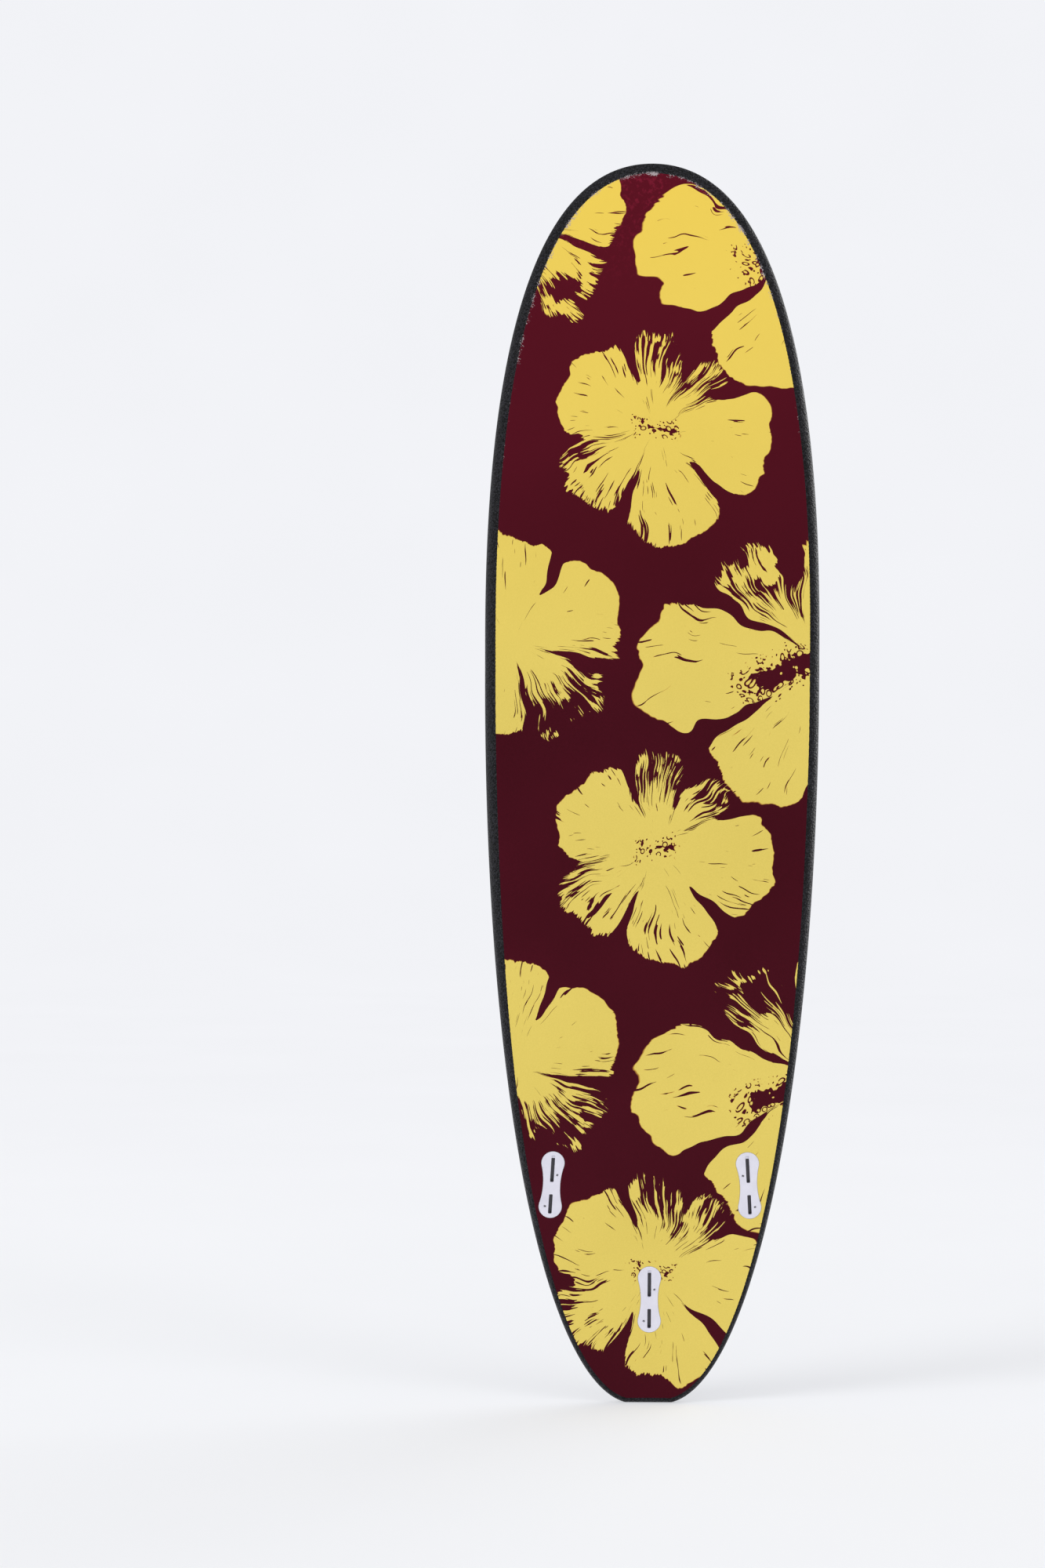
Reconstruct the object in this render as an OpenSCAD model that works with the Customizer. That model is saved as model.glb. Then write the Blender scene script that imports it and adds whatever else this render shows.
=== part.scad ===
// Soft-top surfboard with three fin boxes, stood on its tail.
// +Z runs from the tail to the nose, the bottom faces -Y and the deck faces +Y.
// The origin is the centre of the flat face that the tail stands on.

/* [Board] */
// Length from tail to nose
board_l = 2134; // [2000:2:2300]
// Greatest width
board_w = 571; // [540:1:600]
// Greatest thickness
board_t = 73; // [68:1:80]
// Height of the widest point above the tail
wide_z = 1260; // [1200:10:1320]
// Width of the flat across the end of the tail
tail_w = 80; // [60:2:100]
// How far the bottom curves up at the nose
nose_rocker = 95; // [80:1:110]
// How far the bottom curves up at the tail
tail_rocker = 48; // [40:1:56]
// Thickness at the tip of the nose
nose_t = 25; // [24:1:30]
// Thickness at the end of the tail
tail_t = 36; // [36:1:40]

/* [Skins] */
// Thickness of the deck skin, and of the slick with its backing
skin_t = 4; // [3:0.5:5]
// Thickness of the hard bottom sheet
slick_t = 1.2; // [0.8:0.1:1.6]
// Width of the deck skin's lip round the bottom, from the middle to the nose
lip_w = 19; // [16:1:20]
// Width of the lip at the tail
tail_lip_w = 10; // [9:1:12]

/* [Stringers] */
// Distance of each stringer from the centreline
stringer_x = 86; // [75:1:95]
// Thickness of a stringer
stringer_t = 4; // [3:0.5:6]

/* [Fin boxes] */
// Distance from the tail to the middle of the centre box
centre_box_z = 180; // [175:1:190]
// Distance from the tail to the middle of the side boxes
side_box_z = 377; // [360:1:400]
// Distance of the side boxes from the centreline
side_box_x = 168; // [160:1:172]
// Toe-in of the side boxes, in degrees
toe_in = 3.4; // [2:0.1:4]
// Radius of the round end of a box's flange
lobe_r = 19.6; // [19:0.1:21]
// Distance from a box's middle to the centre of each round end
lobe_y = 37.4; // [37:0.1:39]
// Width of a box's flange at its waist
waist_w = 29; // [27:0.5:31]
// Depth of a box
box_depth = 20; // [19:0.5:22]
// Width of a tab slot
slot_w = 6.2; // [6:0.1:6.6]
// Depth of a tab slot
slot_depth = 14.5; // [13:0.5:15]

/* [Grub screws] */
// Radius of a grub screw
grub_r = 2; // [1.8:0.1:2.1]
// Length of a grub screw
grub_l = 6; // [5:0.5:6]
// Lean of a grub screw towards its slot, in degrees
grub_lean = 38; // [36:1:40]

/* [Retaining rollers] */
// Radius of a roller
roller_r = 2.2; // [2:0.1:2.4]
// Length of a roller
roller_l = 10; // [9:0.5:10]
// How far a roller gives way
roller_travel = 1.5; // [1:0.1:1.5]

/* [Leash plug] */
// Height of the leash cup above the tail
cup_z = 53; // [50:1:56]
// Outer radius of the leash cup
cup_r = 11; // [10.5:0.5:12]
// Radius of the leash cup's mouth
mouth_r = 7.5; // [7:0.5:8]
// Depth of the leash cup
cup_depth = 18; // [17:0.5:18]
// Radius of the leash pin
pin_r = 2; // [1.8:0.1:2.2]
// Diameter of the leash string
string_d = 3.5; // [3:0.1:3.6]

/* [Hidden] */
$fn = 48;

charcoal = [0.13, 0.13, 0.14];
burgundy = [0.30, 0.06, 0.11];
foam_white = [0.93, 0.93, 0.90];
foam_blue = [0.55, 0.68, 0.78];
wood_tan = [0.76, 0.60, 0.40];
plastic_white = [0.90, 0.89, 0.94];
steel = [0.62, 0.63, 0.65];
rubber_black = [0.10, 0.10, 0.10];
cord_black = [0.06, 0.06, 0.07];

// Clearance between pieces that are fixed to each other
gap = 0.1;
// Radial clearance of a running fit
running = 0.05;
// Overshoot of a cutting solid past the face that it cuts
past = 5;

// ---- Shape of the board -------------------------------------------------------------

// Segments along the flat of the tail, the tail curve and the nose curve, on one side
flat_n = 2;
tail_n = 18;
nose_n = 18;
// Height of the flattest point of the bottom, and of the thickest point
flat_z = 0.48 * board_l;
thick_z = 0.56 * board_l;
// The widest point of the rail, as a share of the thickness, and the flat band on it
apex_share = 0.42;
band_h = 8;
// Loss of thickness from the centreline to the rail
crown = 0.13;
// Width of the deck's rail curve at the middle, and at the nose and tail
rail_w = 46;
end_rail_w = 36;
// The spine is the outline squeezed on to the centreline and shortened by this share
spine_share = 0.86;

function lerp(a, b, t) = a + (b - a) * t;
function bezier(p, t) =
    pow(1 - t, 3) * p[0] + 3 * pow(1 - t, 2) * t * p[1]
    + 3 * (1 - t) * t * t * p[2] + pow(t, 3) * p[3];

// The outline's curves, as [x, z], from the tail's corner to the widest point and on to the nose
tail_curve = [
    [tail_w / 2, 0], [0.635 * board_w / 2, 0.0175 * board_l],
    [board_w / 2, 0.44 * wide_z], [board_w / 2, wide_z]
];
nose_curve = [
    [board_w / 2, wide_z], [board_w / 2, wide_z + 0.17 * (board_l - wide_z)],
    [1.06 * board_w / 2, board_l], [0, board_l]
];
right_side = [
    for (i = [0:flat_n - 1]) [tail_w / 2 * i / flat_n, 0],
    for (i = [0:tail_n - 1]) bezier(tail_curve, i / tail_n),
    for (i = [0:nose_n]) bezier(nose_curve, i / nose_n)
];
half_n = len(right_side) - 1;
ring_n = 2 * half_n;
outline = [
    for (i = [0:ring_n - 1])
        i <= half_n ? right_side[i] : [-right_side[ring_n - i][0], right_side[ring_n - i][1]]
];
inward = [
    for (i = [0:ring_n - 1])
        let (along = outline[(i + 1) % ring_n] - outline[(i + ring_n - 1) % ring_n])
        [-along[1], along[0]] / norm(along)
];

// Bottom line, thickness, rail apex, lip and deck rail width at height z
function bottom_y(z) =
    (z > flat_z
        ? nose_rocker * pow((z - flat_z) / (board_l - flat_z), 2.3)
        : tail_rocker * pow((flat_z - z) / flat_z, 2))
    - tail_rocker - apex_share * tail_t;
function thickness(z) =
    z > thick_z
        ? nose_t + (board_t - nose_t) * (1 - pow((z - thick_z) / (board_l - thick_z), 2.2))
        : tail_t + (board_t - tail_t) * (1 - pow(max(0, thick_z - z) / thick_z, 2.2));
function ease(t) = let (u = min(1, max(0, t))) u * u * (3 - 2 * u);
function lip(z) = lerp(tail_lip_w, lip_w, ease(z / board_l / 0.5));
function deck_rail(z) =
    lerp(end_rail_w, rail_w, ease(z / 300) * ease((board_l - z) / 400));

// A point in from the outline: e below the surface, and d towards the spine
function spine_z(z) = board_l / 2 + (z - board_l / 2) * spine_share;
function edge_at(i, e) = outline[i] + inward[i] * e;
function spine_at(i, e) = [0, spine_z(edge_at(i, e)[1])];
function in_from_edge(i, e, d) =
    let (b = edge_at(i, e), s = spine_at(i, e)) b + (s - b) * d / norm(s - b);
function share_in(i, e, p) =
    let (b = edge_at(i, e), s = spine_at(i, e)) norm(p - b) / norm(s - b);

function crowned(z, q) = thickness(z) * (1 - crown * pow(1 - q, 2));
function as_bottom(p, e, turn) =
    let (low = apex_share * thickness(p[1]) - band_h / 2)
    [p[0], bottom_y(p[1]) + e + (low - e) * (1 - sin(turn)), p[1]];
function as_deck(p, e, q, turn) =
    let (high = apex_share * thickness(p[1]) + band_h / 2)
    [p[0], bottom_y(p[1]) + high + (crowned(p[1], q) - e - high) * sin(turn), p[1]];

// Height of the deck on the centreline near the tail, inside the rail's curve
function deck_top(z) = bottom_y(z) + crowned(z, z / spine_z(0));

// Rings round the board: on the lip and rail curves by their turn, inside them by a share
function bottom_rail(e, turn) = [
    for (i = [0:ring_n - 1])
        let (r = lip(outline[i][1]) - e, p = in_from_edge(i, e, r * (1 - cos(turn))))
        as_bottom(p, e, turn)
];
function bottom_inside(e, f) = [
    for (i = [0:ring_n - 1])
        let (p = lerp(in_from_edge(i, e, lip(outline[i][1]) - e), spine_at(i, e), f))
        as_bottom(p, e, 90)
];
function deck_curve(e, turn) = [
    for (i = [0:ring_n - 1])
        let (r = deck_rail(outline[i][1]) - e, p = in_from_edge(i, e, r * (1 - cos(turn))))
        as_deck(p, e, share_in(i, e, p), turn)
];
function deck_inside(e, f) = [
    for (i = [0:ring_n - 1])
        let (p = lerp(in_from_edge(i, e, deck_rail(outline[i][1]) - e), spine_at(i, e), f))
        as_deck(p, e, share_in(i, e, p), 90)
];
function bottom_spine(e) = [for (i = [0:half_n]) as_bottom(spine_at(i, e), e, 90)];
function deck_spine(e) = [for (i = [0:half_n]) as_deck(spine_at(i, e), e, 1, 90)];

bottom_shares = [0.67, 0.33];
bottom_turns = [90, 60, 30, 0];
deck_turns = [0, 22.5, 45, 67.5, 90];
deck_shares = [0.25, 0.5, 0.75];
lip_n = len(bottom_turns);
deck_n = len(deck_turns) + len(deck_shares);
function reversed(list) = [for (i = [len(list) - 1:-1:0]) list[i]];
function bottom_rings(e) = [for (f = bottom_shares) bottom_inside(e, f)];
function lip_rings(e) = [for (turn = bottom_turns) bottom_rail(e, turn)];
function deck_rings(e) = [
    for (turn = deck_turns) deck_curve(e, turn),
    for (f = deck_shares) deck_inside(e, f)
];

function quad(a, b, c, d, right) =
    right ? [[a, c, b], [a, d, c]] : [[a, d, b], [b, d, c]];

// A closed solid through a spine, rings that each go once round the board, and a spine.
// Every band between two rings is split along the same diagonal on both solids that share it:
// turns lists the bands from which the rings run the other way, in or out.
module ringed(first_spine, rings, last_spine, turns) {
    spine_n = half_n + 1;
    last = spine_n + len(rings) * ring_n;
    flat_rings = [for (r = rings) for (p = r) p];
    function on_ring(k, i) = spine_n + k * ring_n + i % ring_n;
    function on_spine(start, i) = start + min(i, ring_n - i);
    function outward(k) = len([for (t = turns) if (k >= t) t]) % 2 == 0;
    faces = [
        for (i = [0:ring_n - 1])
            let (a = on_spine(0, i), b = on_spine(0, i + 1))
            for (f = quad(on_ring(0, i), on_ring(0, i + 1), b, a, i < half_n)) f,
        for (k = [0:len(rings) - 2])
            for (i = [0:ring_n - 1])
                for (f = quad(on_ring(k, i), on_ring(k + 1, i), on_ring(k + 1, i + 1),
                              on_ring(k, i + 1), (i < half_n) == outward(k))) f,
        for (i = [0:ring_n - 1])
            let (a = on_spine(last, i), b = on_spine(last, i + 1), k = len(rings) - 1)
            for (f = quad(on_ring(k, i), a, b, on_ring(k, i + 1), i < half_n)) f
    ];
    polyhedron(concat(first_spine, flat_rings, last_spine), faces, convexity = 8);
}

module whole_core() {
    ringed(
        bottom_spine(skin_t),
        concat(bottom_rings(skin_t), lip_rings(skin_t), deck_rings(skin_t)),
        deck_spine(skin_t),
        [len(bottom_shares) + lip_n]
    );
}

// ---- Skins --------------------------------------------------------------------------

module deck_skin() {
    color(charcoal)
    difference() {
        ringed(
            deck_spine(skin_t),
            concat(
                reversed(deck_rings(skin_t)), reversed(lip_rings(skin_t)),
                [bottom_rail(slick_t, 90)], lip_rings(0), deck_rings(0)
            ),
            deck_spine(0),
            [deck_n - 1, deck_n + lip_n - 1, deck_n + 2 * lip_n + 1]
        );
        along_y(cup_z, cup_rim_y, mouth_r, skin_t + 2 * past);
    }
}

// A sheet of the bottom between two depths below the surface
module bottom_sheet(outer, inner) {
    difference() {
        ringed(
            bottom_spine(outer),
            [for (r = bottom_rings(outer)) r, bottom_rail(outer, 90),
             bottom_rail(inner, 90), for (r = reversed(bottom_rings(inner))) r],
            bottom_spine(inner),
            [len(bottom_shares)]
        );
        at_each_box() flange(-skin_t - past, past, gap);
    }
}

module bottom_slick() {
    color(burgundy) bottom_sheet(0, slick_t);
}

module slick_backing() {
    color(foam_white) bottom_sheet(slick_t, skin_t);
}

// ---- Core and stringers -------------------------------------------------------------

// The slab of the board between two distances from the centreline
module slab(x0, x1) {
    translate([x0, -2 * board_t, -past])
        cube([x1 - x0, 5 * board_t, board_l + 2 * past]);
}

module core_block(x0, x1) {
    color(foam_white)
    difference() {
        intersection() {
            whole_core();
            slab(x0, x1);
        }
        children();
    }
}

core_edge = stringer_x + stringer_t / 2;

module core_left() {
    core_block(-board_w, -core_edge) at_left_box() block_prism(gap);
}

module core_right() {
    core_block(core_edge, board_w) at_right_box() block_prism(gap);
}

module core_centre() {
    core_block(stringer_t - core_edge, core_edge - stringer_t) {
        at_centre_box() block_prism(gap);
        leash_prism(gap);
    }
}

module stringer(side) {
    x = side * stringer_x;
    color(wood_tan)
    intersection() {
        whole_core();
        slab(x - stringer_t / 2, x + stringer_t / 2);
    }
}

module stringer_left() {
    stringer(-1);
}

module stringer_right() {
    stringer(1);
}

// ---- Fin boxes ----------------------------------------------------------------------
// A box is drawn with its face at z = 0, its inside below it, and +Y towards the nose.

// Slope of the bottom at the boxes, in degrees
function bottom_slope(z) = atan(2 * tail_rocker * (flat_z - z) / pow(flat_z, 2));

module at_box(x, z, toe) {
    translate([x, bottom_y(z), z])
        rotate([90 + bottom_slope(z), 0, 0])
        rotate([0, 0, toe])
        children();
}

module at_left_box() {
    at_box(-side_box_x, side_box_z, -toe_in) children();
}

module at_right_box() {
    at_box(side_box_x, side_box_z, toe_in) mirror([1, 0, 0]) children();
}

module at_centre_box() {
    at_box(0, centre_box_z, 0) children();
}

module at_each_box() {
    at_left_box() children();
    at_right_box() children();
    at_centre_box() children();
}

// Outline of two round ends joined by a waist with hollow sides, all tangent to each other
hollow_r = (pow(waist_w / 2, 2) + pow(lobe_y, 2) - pow(lobe_r, 2)) / (2 * lobe_r - waist_w);
hollow_x = hollow_r + waist_w / 2;
meet = lobe_r / (lobe_r + hollow_r);
module peanut(grow) {
    r = lobe_r + grow;
    for (s = [-1, 1]) translate([0, s * lobe_y]) circle(r);
    difference() {
        square([2 * meet * hollow_x * r / lobe_r, 2 * lobe_y * (1 - meet)], center = true);
        for (s = [-1, 1]) translate([s * hollow_x, 0]) circle(hollow_r - grow);
    }
}

module flange(z0, z1, grow) {
    translate([0, 0, z0]) linear_extrude(z1 - z0) peanut(grow);
}

// The part of a box below its flange, narrower by this much all round
step_in = 3;
module box_body(grow) {
    translate([0, 0, -box_depth - grow])
        linear_extrude(box_depth - skin_t / 2) peanut(grow - step_in);
}

// A slot's outline with small round corners, between two places along the box
slot_corner = 1.5;
module slot_outline(y0, y1) {
    translate([-slot_w / 2 + slot_corner, y0]) square([slot_w - 2 * slot_corner, y1 - y0]);
    translate([-slot_w / 2, y0 + slot_corner]) square([slot_w, y1 - y0 - 2 * slot_corner]);
    for (x = [-1, 1]) for (y = [y0 + slot_corner, y1 - slot_corner])
        translate([x * (slot_w / 2 - slot_corner), y]) circle(slot_corner);
}

// Ends of the front slot, of the shallow recess ahead of it, and of the rear slot
front_slot = [4.3, 46];
recess_end = 50.3;
recess_depth = 1.6;
rear_slot = [-50, -16.5];

module slot_cut(ends, depth) {
    translate([0, 0, -depth]) linear_extrude(depth + past) slot_outline(ends[0], ends[1]);
}

// Grub screws: [x, y] of the point where each axis meets the box's face
front_grub_at = [9, 17];
rear_grub_at = [-9.6, -37.6];
grub_sunk = 1;
socket_r = 1.15;
socket_depth = 2.5;

// Puts +Z along a grub screw's axis, out of the box
module along_grub(at) {
    lean = at[0] > 0 ? grub_lean : -grub_lean;
    translate([at[0], at[1], 0]) rotate([0, lean, 0]) children();
}

module grub_bore(at) {
    along_grub(at) translate([0, 0, -11]) cylinder(r = grub_r + running, h = 11 + past);
}

// Retaining roller: it lies across the nose end of the front slot, with its spring ahead of it
roller_at = [0, 46.9, -5.8];
roller_room = 0.3;
spring_l = 3.6;
spring_w = 8;
spring_h = 4;

module roller_pocket() {
    low = roller_at[1] - roller_r - roller_room;
    high = roller_at[1] + roller_r + spring_l + 2 * roller_room;
    width = roller_l + 2 * roller_room;
    height = 2 * (roller_r + running);
    translate([-width / 2, low, roller_at[2] - height / 2]) cube([width, high - low, height]);
}

module fin_box() {
    color(plastic_white)
    difference() {
        union() {
            flange(-skin_t, 0, 0);
            box_body(0);
        }
        slot_cut(front_slot, slot_depth);
        slot_cut(rear_slot, slot_depth);
        slot_cut([front_slot[1] - 2 * slot_corner, recess_end], recess_depth);
        grub_bore(front_grub_at);
        grub_bore(rear_grub_at);
        roller_pocket();
    }
}

module grub(at) {
    color(steel)
    along_grub(at) translate([0, 0, -grub_sunk - grub_l]) difference() {
        cylinder(r = grub_r, h = grub_l);
        translate([0, 0, grub_l - socket_depth]) cylinder(r = socket_r, h = past, $fn = 6);
    }
}

module roller() {
    color(steel)
    translate(roller_at) rotate([0, 90, 0]) cylinder(r = roller_r, h = roller_l, center = true);
}

module roller_spring() {
    color(rubber_black)
    translate([-spring_w / 2, roller_at[1] + roller_r + roller_room, roller_at[2] - spring_h / 2])
        cube([spring_w, spring_l, spring_h]);
}

module fin_box_left() { at_left_box() fin_box(); }
module fin_box_right() { at_right_box() fin_box(); }
module fin_box_centre() { at_centre_box() fin_box(); }
module front_grub_left() { at_left_box() grub(front_grub_at); }
module front_grub_right() { at_right_box() grub(front_grub_at); }
module front_grub_centre() { at_centre_box() grub(front_grub_at); }
module rear_grub_left() { at_left_box() grub(rear_grub_at); }
module rear_grub_right() { at_right_box() grub(rear_grub_at); }
module rear_grub_centre() { at_centre_box() grub(rear_grub_at); }
module roller_left() { at_left_box() roller(); }
module roller_right() { at_right_box() roller(); }
module roller_centre() { at_centre_box() roller(); }
module roller_spring_left() { at_left_box() roller_spring(); }
module roller_spring_right() { at_right_box() roller_spring(); }
module roller_spring_centre() { at_centre_box() roller_spring(); }

// ---- Dense foam blocks --------------------------------------------------------------

block_l = 150;
block_w = 62;
block_depth = 30;

// The block's prism, from inside the core to past the bottom
module block_prism(grow) {
    translate([-block_w / 2 - grow, -block_l / 2 - grow, -block_depth - grow])
        cube([block_w + 2 * grow, block_l + 2 * grow, block_depth + past]);
}

module fin_block() {
    difference() {
        block_prism(0);
        flange(-skin_t - 3 * gap, 2 * past, gap);
        box_body(gap);
    }
}

module fin_block_left() {
    color(foam_blue)
    intersection() {
        whole_core();
        at_left_box() fin_block();
    }
}

module fin_block_right() {
    color(foam_blue)
    intersection() {
        whole_core();
        at_right_box() fin_block();
    }
}

module fin_block_centre() {
    color(foam_blue)
    intersection() {
        whole_core();
        at_centre_box() fin_block();
    }
}

// ---- Leash plug ---------------------------------------------------------------------

// The cup's rim lies just under the deck skin
cup_rim_y = floor(deck_top(cup_z) - skin_t - 1);
cup_flange_r = 15;
cup_flange_t = 2;
cup_floor_t = 2;
leash_block_r = 24;
leash_block_depth = 22;
// The leash pin lies across the cup, this far below its rim
pin_depth = 8;
pin_l = 19;

// A cylinder along +Y from y0, centred on height z
module along_y(z, y0, r, l) {
    translate([0, y0, z]) rotate([-90, 0, 0]) cylinder(r = r, h = l);
}

module cup_outside(grow, above) {
    along_y(cup_z, cup_rim_y - cup_depth - grow, cup_r + grow, cup_depth + grow + above);
    along_y(cup_z, cup_rim_y - cup_flange_t - grow, cup_flange_r + grow,
            cup_flange_t + grow + above);
}

module leash_prism(grow) {
    along_y(cup_z, cup_rim_y - leash_block_depth - grow, leash_block_r + grow,
            leash_block_depth + 3 * past);
}

module leash_block() {
    color(foam_blue)
    intersection() {
        whole_core();
        difference() {
            leash_prism(0);
            cup_outside(gap, 3 * past);
        }
    }
}

module pin_along_x(r, l) {
    translate([0, cup_rim_y - pin_depth, cup_z])
        rotate([0, 90, 0]) cylinder(r = r, h = l, center = true);
}

module leash_cup() {
    color(rubber_black)
    difference() {
        cup_outside(0, 0);
        along_y(cup_z, cup_rim_y - cup_depth + cup_floor_t, mouth_r, cup_depth);
        pin_along_x(pin_r + running, pin_l + 2 * running);
    }
}

module leash_pin() {
    color(steel) pin_along_x(pin_r, pin_l);
}

// The string's route: up from the knot, into the cup, round behind the pin, out and down again
string_route = [
    [-2.1, 17, 6.5], [-2.1, 17.2, 12], [-2.2, 17.3, 18], [-2.5, 18.2, 24], [-2.7, 19, 31],
    [-2.8, 19.4, 38], [-2.8, 19.8, 44], [-2.7, 19.6, 50], [-2.5, 17.4, 55], [-2.3, 13, 58],
    [-2.1, 8, 58.4], [-1.9, 4, 58.1], [-1.2, 0.4, 56.6], [0, -1.1, 53], [1.2, 0.4, 49.4],
    [1.9, 4, 47.9], [2.1, 8.5, 47.8], [2.3, 13.5, 48.3], [2.5, 18.2, 48.6], [2.7, 21.2, 46.4],
    [2.8, 21.5, 42], [2.8, 20.4, 36.5], [2.7, 19.3, 30.5], [2.5, 18.4, 24], [2.2, 17.4, 18],
    [2.1, 17.2, 12], [2.1, 17, 6.5]
];
string_sides = 8;

function unit(v) = v / norm(v);

// A tube along points that stay off the plane across x, so that a fixed side vector works
module tube(points, r, sides) {
    n = len(points);
    rings = [
        for (i = [0:n - 1])
            let (along = unit(points[min(n - 1, i + 1)] - points[max(0, i - 1)]),
                 side = unit(cross(along, [1, 0.001, 0]) + 0.001 * [0, 0, 1]),
                 up = cross(along, side))
            for (k = [0:sides - 1])
                points[i] + r * (cos(360 * k / sides) * side + sin(360 * k / sides) * up)
    ];
    faces = [
        [for (k = [0:sides - 1]) k],
        for (i = [0:n - 2]) for (k = [0:sides - 1])
            let (a = i * sides + k, b = i * sides + (k + 1) % sides)
            for (f = [[a, b + sides, b], [a, a + sides, b + sides]]) f,
        [for (k = [0:sides - 1]) n * sides - 1 - k]
    ];
    polyhedron(rings, faces, convexity = 8);
}

module leash_string() {
    color(cord_black) tube(string_route, string_d / 2, string_sides);
}

// The knot that ties the string's two ends, lying on the floor against the deck
knot_at = [0, 17, 5.6];
knot_r = 5.2;
knot_l = 4.6;

module leash_knot() {
    color(cord_black)
    translate(knot_at) rotate([0, 90, 0]) {
        cylinder(r = knot_r, h = knot_l, center = true);
        for (s = [-1, 1]) translate([0, 0, s * knot_l / 2]) sphere(knot_r);
    }
}

deck_skin();
bottom_slick();
slick_backing();
core_left();
core_centre();
core_right();
stringer_left();
stringer_right();
fin_box_left();
fin_box_right();
fin_box_centre();
fin_block_left();
fin_block_right();
fin_block_centre();
front_grub_left();
front_grub_right();
front_grub_centre();
rear_grub_left();
rear_grub_right();
rear_grub_centre();
roller_left();
roller_right();
roller_centre();
roller_spring_left();
roller_spring_right();
roller_spring_centre();
leash_block();
leash_cup();
leash_pin();
leash_string();
leash_knot();
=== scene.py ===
"""Looks for the soft-top surfboard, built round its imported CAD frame.

Metres, in the CAD's own frame: +Z from the tail to the nose, the bottom faces -Y, the deck +Y.
"""

import math

import bmesh
import bpy
import numpy as np
from mathutils import Matrix, Vector
from mathutils.kdtree import KDTree


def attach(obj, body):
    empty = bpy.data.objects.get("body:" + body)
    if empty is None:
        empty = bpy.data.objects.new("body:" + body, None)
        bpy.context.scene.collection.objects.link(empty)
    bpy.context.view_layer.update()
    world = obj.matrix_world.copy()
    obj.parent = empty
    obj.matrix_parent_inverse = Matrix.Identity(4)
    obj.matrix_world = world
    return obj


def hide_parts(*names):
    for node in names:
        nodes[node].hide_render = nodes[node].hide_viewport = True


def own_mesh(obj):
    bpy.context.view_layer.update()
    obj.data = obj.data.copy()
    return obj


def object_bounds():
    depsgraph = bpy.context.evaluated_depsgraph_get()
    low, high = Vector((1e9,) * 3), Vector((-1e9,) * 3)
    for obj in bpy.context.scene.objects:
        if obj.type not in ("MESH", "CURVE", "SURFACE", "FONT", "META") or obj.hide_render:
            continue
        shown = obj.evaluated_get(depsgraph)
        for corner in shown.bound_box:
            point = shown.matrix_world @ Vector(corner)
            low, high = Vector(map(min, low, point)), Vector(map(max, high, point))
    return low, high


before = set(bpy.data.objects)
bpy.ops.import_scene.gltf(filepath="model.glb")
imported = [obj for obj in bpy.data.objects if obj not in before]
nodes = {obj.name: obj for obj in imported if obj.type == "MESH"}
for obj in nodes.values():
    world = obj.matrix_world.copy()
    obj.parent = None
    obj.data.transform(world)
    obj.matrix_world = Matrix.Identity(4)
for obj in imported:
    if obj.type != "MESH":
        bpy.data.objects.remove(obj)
cad_low, cad_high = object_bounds()
scene = bpy.context.scene

# ---- Sizes of the board, as the CAD has them ------------------------------------------

BOARD_L = cad_high.z
BOARD_W = 0.571
BOARD_T = 0.073
WIDE_Z = 1.260
TAIL_W = 0.080
NOSE_ROCKER = 0.095
TAIL_ROCKER = 0.048
NOSE_T = 0.025
TAIL_T = 0.036
SKIN_T = 0.004
SLICK_T = 0.0012
LIP_W = 0.019
TAIL_LIP_W = 0.010
FLAT_Z = 0.48 * BOARD_L
THICK_Z = 0.56 * BOARD_L
APEX_SHARE = 0.42
BAND_H = 0.008
CROWN = 0.13
# How late the nose bends up, and how late the board thins towards both ends
NOSE_POWER = 2.3
THIN_POWER = 2.2
RAIL_W = 0.046
END_RAIL_W = 0.036
SPINE_SHARE = 0.86

# Fin boxes: middle of the face, toe-in in degrees, and whether the box is mirrored
BOXES = {
    "left": (-0.168, 0.377, -3.4, False),
    "right": (0.168, 0.377, 3.4, True),
    "centre": (0.0, 0.180, 0.0, False),
}
LOBE_R = 0.0196
LOBE_Y = 0.0374
WAIST_W = 0.029

# Leash plug
CUP_Z = 0.053
CUP_RIM_Y = 0.012
MOUTH_R = 0.0075
# Depth of the solids that cut the holes in the skin and the sheet
CUT_DEPTH = 0.02

# ---- Camera ---------------------------------------------------------------------------

# The camera looks straight at the bottom, with the board to the right of the middle, and is
# a few tenths of a degree out of plumb
CAMERA_DISTANCE = 6.0
CAMERA_X = -0.2206
CAMERA_Z = 1.0602
CAMERA_ROLL = -0.25
VIEW_HEIGHT = 2.694


def make_camera():
    data = bpy.data.cameras.new("camera")
    data.sensor_width = 36
    data.lens = data.sensor_width * CAMERA_DISTANCE / VIEW_HEIGHT
    data.clip_end = 60
    camera = bpy.data.objects.new("camera", data)
    camera.location = (CAMERA_X, -CAMERA_DISTANCE, CAMERA_Z)
    camera.rotation_euler = (math.radians(90), math.radians(CAMERA_ROLL), 0)
    scene.collection.objects.link(camera)
    scene.camera = camera


make_camera()

# ---- Mesh helpers ---------------------------------------------------------------------


def new_piece(name, points, faces, smooth=True):
    """A mesh object with these points and faces, its normals pointing out."""
    mesh = bpy.data.meshes.new(name)
    mesh.from_pydata([tuple(map(float, p)) for p in points], [], faces)
    work = bmesh.new()
    work.from_mesh(mesh)
    bmesh.ops.remove_doubles(work, verts=work.verts, dist=1e-6)
    bmesh.ops.recalc_face_normals(work, faces=work.faces)
    work.to_mesh(mesh)
    work.free()
    mesh.polygons.foreach_set("use_smooth", [smooth] * len(mesh.polygons))
    piece = bpy.data.objects.new(name, mesh)
    scene.collection.objects.link(piece)
    return piece


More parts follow.
